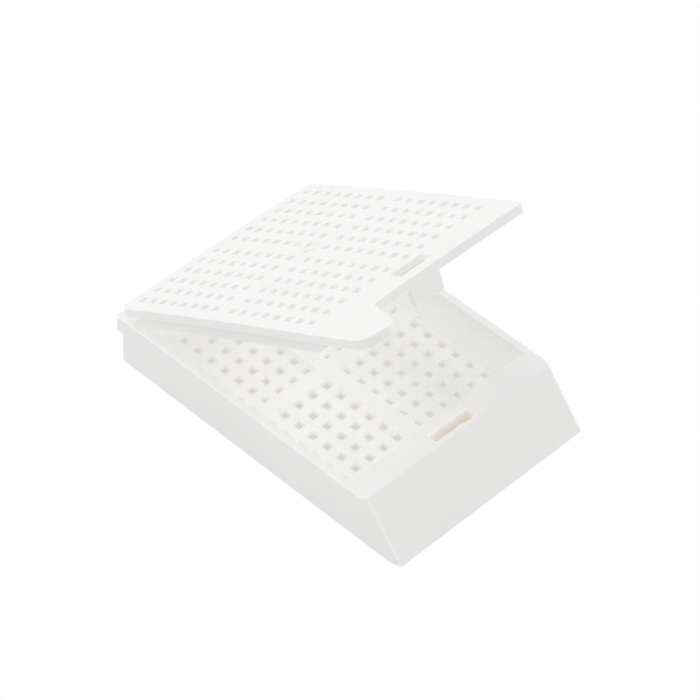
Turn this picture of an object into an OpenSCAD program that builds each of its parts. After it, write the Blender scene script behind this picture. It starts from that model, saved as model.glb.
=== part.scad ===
// Tissue cassette: a perforated tray with a hollow slanted writing face, and a
// perforated lid that swings on two snap-in hinges and latches at the front.
// Millimetres. The origin is on the table, under the middle of the tray.
// +X runs towards the writing face and +Z is up.

/* [Parts] */
// Part to draw

/* [Pose] */
// Angle the lid stands open at, measured from closed
lid_open = 30.3; // [0:0.1:170]

/* [Tray] */
// Length, from the rear lip to the foot of the writing face
base_l = 41.6; // [40:0.1:44]
// Width over the side walls
base_w = 28; // [26:0.1:30]
// Height of the rim above the table
base_h = 6; // [5.6:0.1:7]
// Thickness of the side walls
wall_t = 1; // [0.8:0.05:1.2]
// Thickness of the rear wall
rear_wall_t = 1.05; // [0.9:0.05:1.3]
// Thickness of the perforated floor
floor_t = 0.75; // [0.6:0.05:1]
// Radius on the upright rear corners
rear_r = 0.65; // [0.4:0.05:0.9]
// Height of the dividers above the floor
divider_h = 0.5; // [0.3:0.05:1]
// Width of the divider across the tray
divider_x = 1.83; // [1.5:0.01:2.2]
// Width of the divider along the tray
divider_y = 1.91; // [1.5:0.01:2.2]
// Depth of the thin step along the outer top edge of each side wall
step_in = 0.1; // [0.05:0.01:0.2]
// Height of that step
step_h = 0.25; // [0.15:0.01:0.4]
// Distance of the step's rear end from the rear lip
step_start = 4.9; // [4:0.1:8]

/* [Rear lip] */
// How far the lip stands out from the rear wall
lip_out = 0.95; // [0.95:0.01:1.1]
// Height of the lip
lip_h = 2; // [1.8:0.05:2.4]
// Radius of the lip's corners seen from above
lip_r = 1.2; // [0.8:0.05:1.5]

/* [Floor holes] */
// Side of a square hole in the floor
hole = 1; // [0.8:0.01:1.1]
// Rows of holes in each compartment, counted along the tray
cols = 7; // [4:1:8]
// Rows of holes in each compartment, counted across the tray
rows = 6; // [4:1:7]
// Mean solid margin between the holes and the tray's end walls
margin_x = 1.43; // [1.3:0.01:2]
// Solid margin between the holes and the side walls
margin_y = 0.73; // [0.5:0.01:1.2]
// How far the holes sit behind the middle of the tray
grid_back = 0.16; // [0:0.01:0.3]

/* [Writing face] */
// Horizontal run of the slanted face
slope_run = 5.2; // [4.6:0.1:5.8]
// Length of the flat ledge between the tray and the slanted face
ledge_l = 2.96; // [2.9:0.01:3.3]
// Thickness of the ledge
ledge_t = 0.9; // [0.8:0.05:1.1]
// Thickness of the slanted plate
slant_t = 1; // [0.8:0.05:1.2]
// Thickness of the tray's front wall
front_wall_t = 0.9; // [0.8:0.01:0.95]
// Radius of the writing face's side corners
corner_r = 2; // [1.6:0.05:2.4]
// Depth of that radius' centre below the slanted face
corner_sink = 1.26; // [1:0.02:1.5]

/* [Latch] */
// Distance from the tray to the slot in the ledge
slot_back = 1.18; // [1.14:0.01:1.3]
// Size of the slot along the tray
slot_l = 1.15; // [1.1:0.01:1.25]
// Size of the slot across the tray
slot_w = 5.7; // [5.3:0.1:6.5]
// Depth of the relief in the slot's front edge
slot_relief = 0.15; // [0.05:0.01:0.25]
// Distance of the relief from the centre line
relief_y = 1.1; // [0.5:0.1:2]
// Depth of the recess in the front wall behind the slot
recess = 0.3; // [0.1:0.01:0.35]
// Width of that recess
recess_w = 5.45; // [5:0.05:6.5]
// Width of the latch tongue
latch_w = 4.3; // [3.8:0.1:5]
// Length of the latch tongue below the lid
latch_l = 2.45; // [2.2:0.05:2.6]
// Gap between the latch barb and the slot's rear edge
latch_gap = 0.05; // [0.04:0.01:0.1]
// Thickness of the tongue at the lid
latch_t = 0.42; // [0.35:0.01:0.5]
// Thickness of the tongue's end
latch_tip_t = 0.4; // [0.3:0.01:0.42]
// How far the barb stands out from the tongue
barb_out = 0.31; // [0.2:0.01:0.35]
// Height of the barb above the tongue's end
barb_up = 0.65; // [0.4:0.01:0.8]
// Run of the barb's lead-in at the tongue's end
barb_lead = 0.18; // [0.1:0.01:0.25]

/* [Lid] */
// Thickness of the lid plate
lid_t = 1.1; // [0.9:0.05:1.3]
// Gap between the closed lid and the rim
seat_gap = 0.1; // [0.02:0.01:0.12]
// Distance from the rear lip to the lid's rear edge
lid_back = 1.88; // [1.75:0.01:2]
// Distance from the lid's front edge to the front edge of the ledge
lid_short = 0.12; // [0.1:0.01:0.4]
// Radius of the lid's rear corners
lid_rear_r = 1.75; // [1:0.05:2.5]
// Radius of the lid's plain front corner
lid_front_r = 0.5; // [0.3:0.05:1]
// Side of a square hole in the lid
lid_hole = 0.86; // [0.75:0.01:1]
// Rows of holes in each half of the lid, counted along it
lid_cols = 8; // [5:1:9]
// Rows of holes in each half of the lid, counted across it
lid_rows = 6; // [4:1:7]
// Mean solid margin between the lid's holes and the line of the tray's end walls
lid_margin_x = 1.255; // [1.1:0.005:1.8]
// Solid margin between the lid's holes and the line of the side walls
lid_margin_y = 0.54; // [0.45:0.01:1]
// How far the lid's holes sit behind the middle of the tray
lid_grid_back = 0.07; // [0:0.01:0.2]
// Solid band across the middle of the lid
band_x = 2.01; // [1.8:0.01:2.3]
// Solid band along the middle of the lid
band_y = 1.9; // [1.8:0.01:2.3]
// Length of the window behind the latch
window_l = 1.75; // [1.5:0.05:1.8]
// Width of the window behind the latch
window_w = 4.5; // [4:0.1:5.2]
// Solid strip between the window and the latch
window_gap = 0.15; // [0.1:0.01:0.3]
// Diameter of the moulding gate's dimple
gate_d = 1.5; // [1:0.1:1.7]
// Depth of the moulding gate's dimple
gate_depth = 0.12; // [0.05:0.01:0.2]

/* [Finger tab] */
// Reach of the tab beyond the lid's front edge
tab_reach = 5.95; // [5.2:0.05:6.4]
// Width of the tab where it leaves the lid
tab_w = 6.5; // [5.8:0.1:7.5]
// How much narrower the tab is at its front
tab_taper = 2.5; // [1.5:0.1:2.7]
// How far back the tab's front edge has run at the lid's side
tab_skew = 0.76; // [0.3:0.02:1]
// Radius of the tab's inner front corner
tab_in_r = 1.2; // [0.8:0.05:1.5]
// Radius of the tab's outer front corner
tab_out_r = 1.5; // [1:0.05:1.8]

/* [Lid ribs] */
// Thickness of the ribs that drop inside the side walls
rib_t = 0.9; // [0.7:0.05:1]
// Depth of the ribs below the lid
rib_h = 1.7; // [1.4:0.05:1.75]
// Gap between a rib and the side wall
rib_gap = 0.05; // [0.04:0.01:0.15]
// Gap between a rib's front end and the front wall
rib_end_gap = 0.16; // [0.14:0.01:0.4]
// Radius of the ribs' front ends
rib_r = 1.1; // [0.8:0.05:1.2]
// Gap between a rib's rear end and the rear wall
rib_rear_gap = 0.4; // [0.3:0.01:0.8]
// Run of the slanted corner at a rib's rear end
rib_slant = 0.88; // [0.5:0.02:1.2]
// Height of that slanted corner
rib_slant_h = 0.8; // [0.4:0.02:1]
// Distance from the front wall to the snap nub on each side wall
nub_back = 9.9; // [6:0.1:14]
// How far a snap nub stands out from the side wall
nub_out = 0.15; // [0.1:0.01:0.25]
// Length of a snap nub
nub_l = 0.8; // [0.6:0.1:1.2]
// Height of a snap nub
nub_h = 0.25; // [0.2:0.01:0.4]
// Gap between a snap nub and the closed rib above it
nub_gap = 0.05; // [0.03:0.01:0.1]

/* [Hinge] */
// Diameter of the hinge pins
pin_d = 0.6; // [0.5:0.01:0.64]
// Radial play of the pins in their bores
pin_play = 0.04; // [0.02:0.01:0.05]
// Length of each pin
pin_l = 0.5; // [0.4:0.05:0.8]
// Gap at the end of each pin
pin_end_gap = 0.1; // [0.05:0.01:0.2]
// Diameter of the hub that carries the pins
hub_d = 0.84; // [0.76:0.01:0.9]
// Width of each hub
hub_w = 4.2; // [3.4:0.1:5]
// Gap between a hub and each side of its notch
hub_gap = 0.1; // [0.06:0.01:0.2]
// Distance of each hinge from the centre line
hinge_y = 7.75; // [6:0.05:9]
// Distance of the pin centre from the lip's rear face
pin_in = 0.56; // [0.54:0.01:0.6]
// Depth of the pin centre below the rim
pin_sink = 0.8; // [0.74:0.01:0.86]
// Depth of the notches in the rear wall below the rim
notch_h = 1.6; // [1.5:0.05:1.7]
// How far the arms' centre line ends in from the lid's rear edge
arm_in = 0.37; // [0.3:0.01:0.5]
// How far the arms' centre line ends above the lid's underside
arm_up = 0.25; // [0.2:0.01:0.4]

/* [Hidden] */
$fn = 48;
over = 1; // overshoot of a cut past the surface it opens
join = 0.2; // overlap of one shape with the one it grows from
plastic = [0.95, 0.95, 0.94];

// Stations along the tray, from the rear face of the lip
tray_x0 = lip_out + rear_wall_t;
ledge_x = base_l - slope_run;
tray_x1 = ledge_x - ledge_l;
tray_l = tray_x1 - tray_x0;
tray_w = base_w - 2 * wall_t;
grid_x = (tray_x0 + tray_x1) / 2 - grid_back;
slot_x = tray_x1 + slot_back;
front_x = tray_x1 + front_wall_t;
slope = atan(base_h / slope_run);
slope_l = sqrt(base_h * base_h + slope_run * slope_run);

// Lid, in its closed place
lid_z = base_h + seat_gap;
lid_x1 = ledge_x - lid_short;
tab_tip = lid_x1 + tab_reach;
lid_grid_x = (tray_x0 + tray_x1) / 2 - lid_grid_back;
latch_x = slot_x + latch_gap;
window_x = latch_x + barb_out - window_gap - window_l;
rib_y = tray_w / 2 - rib_gap;
rib_x0 = tray_x0 + rib_rear_gap;
rib_x1 = tray_x1 - rib_end_gap;
rib_z = lid_z - rib_h;
pin_z = base_h - pin_sink;

// Centres of one line of holes of side a: two groups of n, with a band between them
function line(n, a, span, band) = [
    for (side = [-1, 1], i = [0 : n - 1])
        side * ((band + a) / 2 + i * (span - band - 2 * a) / (2 * (n - 1)))
];

// Square holes of side a at every crossing of two lines of centres
module hole_grid(a, xs, ys, h)
    for (x = xs, y = ys)
        translate([x - a / 2, y - a / 2, -over])
            cube([a, a, h + 2 * over]);

// A profile drawn in X and Z, given a width across the tray
module across(w)
    translate([0, w / 2, 0])
        rotate([90, 0, 0])
            linear_extrude(w)
                children();

// A cylinder that lies across the tray
module cross_pin(d, w)
    rotate([90, 0, 0])
        cylinder(d = d, h = w, center = true);

// The same thing at two places, y to each side of the centre line
module both_sides(y)
    for (side = [-1, 1])
        translate([0, side * y, 0])
            children();

// A thing and its mirror image across the centre line
module mirrored()
    for (side = [0, 1])
        mirror([0, side, 0])
            children();

// Outline with its own radius at each outward corner: p = [[x, y, r], ...]
function unit(v) = v / norm(v);
function before(p, i) = p[(i + len(p) - 1) % len(p)];
function after(p, i) = p[(i + 1) % len(p)];
function xy(q) = [q[0], q[1]];
function to_before(p, i) = unit(xy(before(p, i)) - xy(p[i]));
function to_after(p, i) = unit(xy(after(p, i)) - xy(p[i]));
function half_turn(p, i) = acos(to_before(p, i) * to_after(p, i)) / 2;
function run_in(p, i) = p[i][2] / tan(half_turn(p, i));
function bisector(p, i) = unit(to_before(p, i) + to_after(p, i));

module rounded_outline(p) {
    polygon([
        for (i = [0 : len(p) - 1], arm = [to_before(p, i), to_after(p, i)])
            xy(p[i]) + run_in(p, i) * arm
    ]);
    for (i = [0 : len(p) - 1])
        if (p[i][2] > 0)
            translate(xy(p[i]) + p[i][2] / sin(half_turn(p, i)) * bisector(p, i))
                circle(r = p[i][2]);
}

// ---- Base ----

// Outer body: a plain block whose front end is slanted
module base_block()
    difference() {
        across(base_w)
            polygon([
                [lip_out, 0],
                [base_l, 0],
                [ledge_x, base_h],
                [lip_out, base_h]
            ]);
        mirrored() {
            rear_corner_cut();
            front_corner_cut();
        }
    }

// Rounds one upright rear edge
module rear_corner_cut()
    translate([lip_out, base_w / 2 - rear_r, -over])
        difference() {
            translate([-over, 0, 0])
                cube([over + rear_r, rear_r + over, base_h + 2 * over]);
            translate([rear_r, 0, -over])
                cylinder(r = rear_r, h = base_h + 4 * over);
        }

// Rounds one side corner, along the line of the slanted face
module front_corner_cut()
    translate([ledge_x, base_w / 2 - corner_r, base_h])
        rotate([0, slope, 0])
            translate([-corner_r, 0, -corner_sink])
                difference() {
                    cube([slope_l + 2 * corner_r, corner_r + over, 2 * corner_r]);
                    translate([-over, 0, 0])
                        rotate([0, 90, 0])
                            cylinder(r = corner_r, h = slope_l + 2 * corner_r + 2 * over);
                }

// Lip along the top of the rear wall, which carries the hinge bores
module rear_lip()
    translate([0, 0, base_h - lip_h])
        linear_extrude(lip_h)
            rounded_outline([
                [0, -base_w / 2, lip_r],
                [tray_x0, -base_w / 2, 0],
                [tray_x0, base_w / 2, 0],
                [0, base_w / 2, lip_r]
            ]);

// Space inside the tray, with the recess behind the slot
module tray_space() {
    translate([tray_x0, -tray_w / 2, floor_t])
        cube([tray_l, tray_w, base_h]);
    translate([tray_x1 - over, -recess_w / 2, floor_t + divider_h])
        cube([recess + over, recess_w, base_h]);
}

// Hollow behind the writing face, open underneath
module front_space() {
    lean = slant_t / sin(slope);
    rise = base_h - ledge_t;
    across(tray_w)
        polygon([
            [front_x, -over],
            [base_l - lean + over * slope_run / base_h, -over],
            [base_l - lean - rise * slope_run / base_h, rise],
            [front_x, rise]
        ]);
}

// Slot through the ledge that takes the latch
module latch_slot() {
    translate([slot_x, -slot_w / 2, base_h - ledge_t - over])
        cube([slot_l, slot_w, ledge_t + 2 * over]);
    translate([slot_x, relief_y, base_h - ledge_t - over])
        cube([slot_l + slot_relief, slot_w / 2 - relief_y, ledge_t + 2 * over]);
}

// Notch for one hinge hub, and the bores for its pins
module hinge_notch() {
    w = hub_w + 2 * hub_gap;
    translate([-over, -w / 2, base_h - lip_h - over])
        cube([over + lip_out, w, lip_h + 2 * over]);
    translate([0, -w / 2, base_h - notch_h])
        cube([tray_x0 + over, w, notch_h + over]);
    translate([pin_in, 0, pin_z])
        cross_pin(pin_d + 2 * pin_play, hub_w + 2 * (pin_l + pin_end_gap));
}

// Low cross that parts the floor into four compartments
module dividers() {
    translate([grid_x - divider_x / 2, -tray_w / 2 - join, floor_t - join])
        cube([divider_x, tray_w + 2 * join, divider_h + join]);
    translate([tray_x0 - join, -divider_y / 2, floor_t - join])
        cube([tray_l + 2 * join, divider_y, divider_h + join]);
}

// Nub on one side wall that the closed lid's rib snaps over
module snap_nub()
    translate([tray_x1 - nub_back - nub_l / 2, 0, rib_z - nub_gap - nub_h])
        cube([nub_l, nub_out + join, nub_h]);

module base()
    color(plastic)
        translate([-base_l / 2, 0, 0]) {
            difference() {
                union() {
                    base_block();
                    rear_lip();
                }
                tray_space();
                front_space();
                latch_slot();
                both_sides(hinge_y)
                    hinge_notch();
                mirrored()
                    translate([step_start, base_w / 2 - step_in, base_h - step_h])
                        cube([base_l, step_in + over, step_h + over]);
                translate([grid_x, 0, 0])
                    hole_grid(
                        hole,
                        line(cols, hole, tray_l - 2 * margin_x, divider_x),
                        line(rows, hole, tray_w - 2 * margin_y, divider_y),
                        floor_t
                    );
            }
            dividers();
            mirrored()
                translate([0, tray_w / 2 - nub_out, 0])
                    snap_nub();
        }

// ---- Lid, drawn closed ----

module lid_plate()
    difference() {
        translate([0, 0, lid_z])
            linear_extrude(lid_t)
                rounded_outline([
                    [lid_back, -base_w / 2, lid_rear_r],
                    [tab_tip - tab_skew, -base_w / 2, tab_out_r],
                    [tab_tip, tab_w - tab_taper - base_w / 2, tab_in_r],
                    [lid_x1, tab_w - base_w / 2, 0],
                    [lid_x1, base_w / 2, lid_front_r],
                    [lid_back, base_w / 2, lid_rear_r]
                ]);
        translate([lid_grid_x, 0, lid_z])
            hole_grid(
                lid_hole,
                line(lid_cols, lid_hole, tray_l - 2 * lid_margin_x, band_x),
                line(lid_rows, lid_hole, tray_w - 2 * lid_margin_y, band_y),
                lid_t
            );
        translate([window_x, -window_w / 2, lid_z - over])
            cube([window_l, window_w, lid_t + 2 * over]);
        translate([lid_grid_x, 0, lid_z + lid_t - gate_depth])
            cylinder(d = gate_d, h = over);
    }

// Rib that drops inside one side wall
module lid_rib()
    across(rib_t) {
        polygon([
            [rib_x0, lid_z + join],
            [rib_x0, rib_z + rib_slant_h],
            [rib_x0 + rib_slant, rib_z],
            [rib_x1 - rib_r, rib_z],
            [rib_x1, rib_z + rib_r],
            [rib_x1, lid_z + join]
        ]);
        translate([rib_x1 - rib_r, rib_z + rib_r])
            circle(r = rib_r);
    }

// Tongue with a barb that faces the tray
module latch()
    across(latch_w)
        polygon([
            [latch_x + barb_out, lid_z + join],
            [latch_x + barb_out, lid_z],
            [latch_x, lid_z - latch_l + barb_up],
            [latch_x + barb_lead, lid_z - latch_l],
            [latch_x + barb_lead + latch_tip_t, lid_z - latch_l],
            [latch_x + barb_out + latch_t, lid_z],
            [latch_x + barb_out + latch_t, lid_z + join]
        ]);

// Arm from the lid's rear edge down to its hub, with a pin at each end
module hinge_arm() {
    r = hub_d / 2;
    root = [lid_back + arm_in, lid_z + arm_up];
    lean = atan2(root[1] - pin_z, root[0] - pin_in);
    reach = norm(root - [pin_in, pin_z]);
    translate([pin_in, 0, pin_z]) {
        cross_pin(hub_d, hub_w);
        rotate([0, -lean, 0])
            translate([0, -hub_w / 2, -r])
                cube([reach, hub_w, hub_d]);
        cross_pin(pin_d, hub_w + 2 * pin_l);
    }
}

// Turns the closed lid up about the hinge pins
module swung(angle)
    translate([pin_in, 0, pin_z])
        rotate([0, -angle, 0])
            translate([-pin_in, 0, -pin_z])
                children();

module lid()
    color(plastic)
        translate([-base_l / 2, 0, 0])
            swung(lid_open) {
                lid_plate();
                both_sides(rib_y - rib_t / 2)
                    lid_rib();
                latch();
                both_sides(hinge_y)
                    hinge_arm();
            }

base();
lid();
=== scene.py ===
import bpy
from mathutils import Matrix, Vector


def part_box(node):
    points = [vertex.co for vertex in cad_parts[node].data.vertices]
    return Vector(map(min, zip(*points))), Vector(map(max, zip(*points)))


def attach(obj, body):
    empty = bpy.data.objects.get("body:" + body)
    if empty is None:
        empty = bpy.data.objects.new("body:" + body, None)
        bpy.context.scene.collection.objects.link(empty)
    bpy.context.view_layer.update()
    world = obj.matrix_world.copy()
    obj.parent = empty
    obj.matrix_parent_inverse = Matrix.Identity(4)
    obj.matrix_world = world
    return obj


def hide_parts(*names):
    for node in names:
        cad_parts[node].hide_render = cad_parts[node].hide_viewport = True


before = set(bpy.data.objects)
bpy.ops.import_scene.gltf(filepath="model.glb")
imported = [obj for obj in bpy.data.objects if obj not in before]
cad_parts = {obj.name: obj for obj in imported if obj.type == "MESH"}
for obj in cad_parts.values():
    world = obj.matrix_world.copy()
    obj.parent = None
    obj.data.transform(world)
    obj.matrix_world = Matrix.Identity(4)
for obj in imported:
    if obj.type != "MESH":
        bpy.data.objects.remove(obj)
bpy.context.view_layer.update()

import math

import bmesh
import bpy
from mathutils import Matrix, Vector

# Both pieces are modelled in millimetres, at stations counted from the rear
# face of the lip, and made into metres about the middle of the tray at the end.
MM = 0.001
base_low, base_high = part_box("base")
BASE_L = (base_high[0] - base_low[0]) / MM
HALF_W = (base_high[1] - base_low[1]) / MM / 2
RIM = base_high[2] / MM
# Places closer than this are one place.
NEAR = 1e-4
# How far a cutting shape stands past what it cuts.
OVER = 1.0

# ---- Sizes of the base ----

# Rear wall and lip
LIP_OUT = 0.95
LIP_FOOT = 4.0
LIP_R = 0.3
REAR_R = 0.2

# Tray
WALL = HALF_W - 1.0
FLOOR = 0.75
DIVIDER = 1.25
TRAY_REAR = 2.0
TRAY_FRONT = 33.44
# The holes' middles, counted to both sides of the middle of their grid
FLOOR_GRID = 17.56
FLOOR_HOLE = 1.0
FLOOR_X = [1.415 + 2.0625 * i for i in range(7)]
FLOOR_Y = [1.455 + 2.063 * i for i in range(6)]
# Half the widths of the divider across the tray and of the one along it
BAND_X = 0.915
BAND_Y = 0.955

# Thin step along the outer top edges, and the nubs inside the side walls
STEP_START = 4.9
STEP_FOOT = RIM - 0.25
STEP_DEEP = 0.06
NUB_X = (23.14, 23.94)
NUB_Z = (4.1, 4.35)
NUB_Y = WALL + 0.025
NUB_W = 0.35

# Front wall, ledge, and the slanted writing face with the hollow behind it
RECESS_END = 33.74
RECESS_Y = 2.725
FRONT_WALL = 34.34
LEDGE_UNDER = 5.1
LEDGE_EDGE = 36.4
SLOPE = (BASE_L - LEDGE_EDGE) / RIM
# The slanted plate's thickness, measured level
PLATE_RUN = 1.3232
HOLLOW_END = BASE_L - PLATE_RUN

# Round at each side of the writing face
CORNER_R = 2.0
CORNER_SINK = 1.26
CORNER_STEPS = 8
# How far its cutting shape stands out of the face, how far above the ledge's
# edge it starts, how long it is, and the lean of its lead-in in radians
CORNER_PAST = 0.5
CORNER_BACK = 3
CORNER_LONG = 14
CORNER_LEAN = 0.4

# Latch slot, with a relief in one half of its front edge
SLOT = (34.62, 35.77)
SLOT_Y = 2.85
RELIEF_Y = 1.1
RELIEF_TOP = 35.92
RELIEF_UNDER = 35.83

# Hinge
NOTCH_Y = (5.55, 9.95)
NOTCH_FOOT = 4.4
PIN_X, PIN_Z = 0.56, 5.2
PIN_R = 0.3
PIN_W = 5.2
BORE_R = 0.34
BORE_W = 5.4
PIN_POINTS = 24
ARM_R = 0.42
ARM_W = 4.2
HINGE_Y = 7.75

# ---- Sizes of the lid, closed ----

# Plate, with its bow and its finger tab
LID_UNDER = 6.1
LID_TOP = 7.2
LID_T = LID_TOP - LID_UNDER
LID_REAR = 1.88
LID_FRONT = 36.28
LID_REAR_R = 0.95
LID_FRONT_R = 0.5
# How high it is bowed along and across, and how far from its middle that is spent
BOW_LONG = 0.136
BOW_ACROSS = 0.132
BOW_REACH = 15
BOW_SIDE = 13
TAB_TIP = 42.23
TAB_SKEW = 0.76
TAB_W = 6.5
TAB_Y = TAB_W - HALF_W
TAB_TAPER = 2.5
TAB_IN_R = 1.2
TAB_OUT_R = 1.5
# How far it stands above closed
LID_OPEN = math.radians(30.3)

# Holes, the window behind the latch, and the dimple of the moulding gate
LID_GRID = 17.65
LID_HOLE = 0.86
LID_X = [1.435 + 1.8 * i for i in range(8)]
LID_Y = [1.38 + 2.13 * i for i in range(6)]
WINDOW_X = (33.08, 34.83)
WINDOW_Y = 2.25
GATE_R = 0.75
GATE_DEEP = 0.12
GATE_PIP_R = 0.26
GATE_PIP_L = 0.5
GATE_PIP_Z = LID_TOP + BOW_LONG + BOW_ACROSS - 0.3

# What hangs under the plate starts this far inside it.
SUNK = 0.2
RIB_X = (TRAY_REAR + 0.4, TRAY_FRONT - 0.16)
RIB_Z = LID_UNDER - 1.7
RIB_SLANT = (0.88, 0.8)
RIB_R = 1.1
RIB_Y = WALL - 0.5
RIB_W = 0.9
ARM_ROOT = (LID_REAR + 0.37, LID_UNDER + 0.25)
# The tongue's profile, from the slot's rear edge and the lid's underside: its
# rear face down to the barb and the tip, and its front face up again.
TONGUE_X = SLOT[0] + 0.05
TONGUE = (
    (0.27, SUNK), (0.27, 0), (0.09, -0.6), (-0.17, -1.5), (-0.27, -2.05), (0.11, -2.47),
    (0.4, -2.47), (0.57, -2.2), (0.57, -0.8), (0.69, 0), (0.69, SUNK),
)
TONGUE_W = 4.2
# How much of its width it loses with each millimetre down
TONGUE_DRAFT = 0.025

# ---- Rounded edges ----

# Their widths
WALL_FOOT = 0.12
DIVIDER_FOOT = 0.06
DIVIDER_TOP = 0.08
HOLE_RIM = 0.06
HOLE_FOOT = 0.04
STEP_EDGE = 0.03
LIP_UNDER_EDGE = 0.06
REAR_OUTLINE = 0.1
SLOT_RIM = 0.07
OTHER_EDGE = 0.08
NUB_EDGE = 0.04
GATE_EDGE = 0.04
LID_HOLE_RIM = 0.03
LID_HOLE_FOOT = 0.05
LID_OUTLINE = 0.1
TAB_OUTLINE = 0.12
SMALL_PART_EDGE = 0.05
# How far from its edge a face of a rounding is looked for
BY_STEP = 0.05
BY_WALL = 0.15
BY_RIM = 0.2
# What lies further below the rim than this belongs to the floor or its dividers.
BELOW_RIM = 0.5
# The lid's holes and window keep this far from its ends and from its sides.
LID_MARGIN = (0.5, 0.8)
# Edges that bend less than this stay as they are.
LEAST_BEND = math.radians(20)
SMOOTH_BELOW = math.radians(40)
# Faces that meet at a smaller angle than this, in radians, are one round.
ONE_ROUND = 0.05

# ---- Finish ----
ACETAL = (0.984, 0.982, 0.979, 1)
SHEEN = 0.45
BASE_GRAIN = 0.5
LID_GRAIN = 0.12
GRAIN_SCALE = 6500
GRAIN_DEEP = 0.012 * MM
CLOUD_SCALE = 180
NOISE_SPAN = (0.3, 0.7)
# What the clouds do to the tone and the roughness, and the grain to the roughness
CLOUD_TONE = (0.985, 1.0)
CLOUD_ROUGH = (-0.04, 0.05)
GRAIN_ROUGH = (-0.03, 0.03)

# Painted glow, set as emission on the plastic, that stands in for light passing through the thin
# plastic and bouncing inside it
DARK = (0, 0, 0, 1)
TRAY_PAINTED_GLOW = (0.055, 0.0555, 0.057, 1)
HOLE_PAINTED_GLOW = (0.545, 0.538, 0.525, 1)
HOLLOW_PAINTED_GLOW = (0.078, 0.069, 0.058, 1)
LID_HOLE_PAINTED_GLOW = (0.51, 0.5, 0.49, 1)
# Painted highlights along rounded edges, and a painted glow in hollow corners
EDGE_PAINTED_HIGHLIGHT = (0.1, 0.1, 0.099, 1)
LID_EDGE_PAINTED_HIGHLIGHT = (0.045, 0.045, 0.044, 1)
CORNER_PAINTED_GLOW = (0.058, 0.058, 0.057, 1)
# Painted shade: the share of the plastic's colour left deep in a hole, where little light from
# outside falls
HOLE_PAINTED_SHADE = 0.35

# Where that painted glow fades, in millimetres, and the share that is left of it; the shares
# below one are painted shade.
# A face has all of its glow, and it is gone a little way past the face.
JUST_PAST, PAST = 0.02, 0.06
TRAY_TOP_FADE = (DIVIDER + 1, RIM - 0.1)
FRONT_FADE = (TRAY_FRONT - 14, TRAY_FRONT - 3)
FRONT_SHADE = 0.6
REAR_FADE = (TRAY_REAR, TRAY_REAR + 12)
REAR_SHADE = 0.6
HOLE_FADE = (0.1, FLOOR - 0.1)
HOLE_FOOT_SHADE = 0.76
HOLLOW_FADE = (LEDGE_UNDER - 0.1, LEDGE_UNDER + 0.4)
# Painted glow inside the latch slot
SLOT_FOOT_FADE = (LEDGE_UNDER + 0.15, LEDGE_UNDER + 0.5)
SLOT_TOP_FADE = (RIM - 0.1, RIM - 0.03)
SLOT_GAIN = 1.3
# The rim carries painted glow near its rear end alone, where the lid shades it.
RIM_RISE = (1.5, 3.5)
RIM_FADE = (5.0, 15.0)
RIM_GAIN = 0.8
# Depths below the lid's top
LID_HOLE_FADE = (0.03, 0.3)
WINDOW_FOOT_FADE = (0.66, 0.74)
WINDOW_FOOT_SHADE = 0.75
UNDERSIDE_RISE = (0.95, 1.05)

# ---- Camera ----
BEARING, RISE, ROLL = math.radians(42.3787), math.radians(45.3109), math.radians(-2.9303)
CAMERA_PLACE = (0.16823, -0.184501, 0.258711)
LENS = 175.476
SENSOR = 36

# ---- Table and light ----
TABLE_SIZE = 1.2
TABLE_TONE = 0.8
# Painted glow on the paper under the tray, which shows through the floor's holes
PAPER_PAINTED_GLOW = (0.09, 0.08, 0.055)
# The paper's own tone starts this far inside the outline of the base.
PAPER_INSET = 0.0006
ROOM_LIGHT = 0.61
ROOM_TINT = (1.0, 0.994, 0.98, 1)
# Name, bearing and height in degrees, and power in watts
SOFTBOXES = (
    ("front_box", 0, 20, 0.86),
    ("front_high_box", 0, 50, 0.78),
    ("far_side_box", 90, 20, 3.0),
    ("rear_high_box", 180, 50, 2.15),
    ("rear_near_box", 225, 20, 2.38),
)
SOFTBOX_SIZE = 0.7
SOFTBOX_AWAY = 1.1
# White plastic passes light on many times before it is spent.
BOUNCES = 64


# ---- Modelling steps ----

def deselect_all():
    for other in bpy.context.selected_objects:
        other.select_set(False)


def take(piece):
    """Makes one piece the only selected one and the active one."""
    deselect_all()
    piece.select_set(True)
    bpy.context.view_layer.objects.active = piece


def open_piece(piece):
    """Opens one piece for editing, with nothing in it selected."""
    take(piece)
    bpy.ops.object.mode_set(mode="EDIT")
    bpy.ops.mesh.select_mode(type="FACE")
    bpy.ops.mesh.select_all(action="DESELECT")


def close_piece():
    bpy.ops.object.mode_set(mode="OBJECT")


def pick(kind, test):
    """Selects just the vertices, edges or faces that pass a test."""
    bpy.ops.mesh.select_mode(type=kind)
    bpy.ops.mesh.select_all(action="DESELECT")
    piece = bpy.context.edit_object
    shape = bmesh.from_edit_mesh(piece.data)
    parts = {"VERT": shape.verts, "EDGE": shape.edges, "FACE": shape.faces}[kind]
    for part in parts:
        if test(part):
            part.select_set(True)
    shape.select_flush_mode()
    bmesh.update_edit_mesh(piece.data)


def middle(edge):
    return (edge.verts[0].co + edge.verts[1].co) / 2


def pick_faces(test):
    """Selects just the faces whose middle and normal pass a test."""
    pick("FACE", lambda face: test(face.calc_center_median(), face.normal))


def pick_all_faces():
    bpy.ops.mesh.select_mode(type="FACE")
    bpy.ops.mesh.select_all(action="SELECT")


def cut(axis, place, test=None):
    """Cuts the faces that pass a test along a plane across one axis."""
    pick_faces(lambda c, n: test is None or test(c))
    where = Vector((0, 0, 0))
    where[axis] = place
    facing = Vector((0, 0, 0))
    facing[axis] = 1
    bpy.ops.mesh.bisect(plane_co=where, plane_no=facing, threshold=NEAR)


def delete_faces(test):
    pick_faces(lambda c, n: test(c))
    bpy.ops.mesh.delete(type="FACE")


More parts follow.
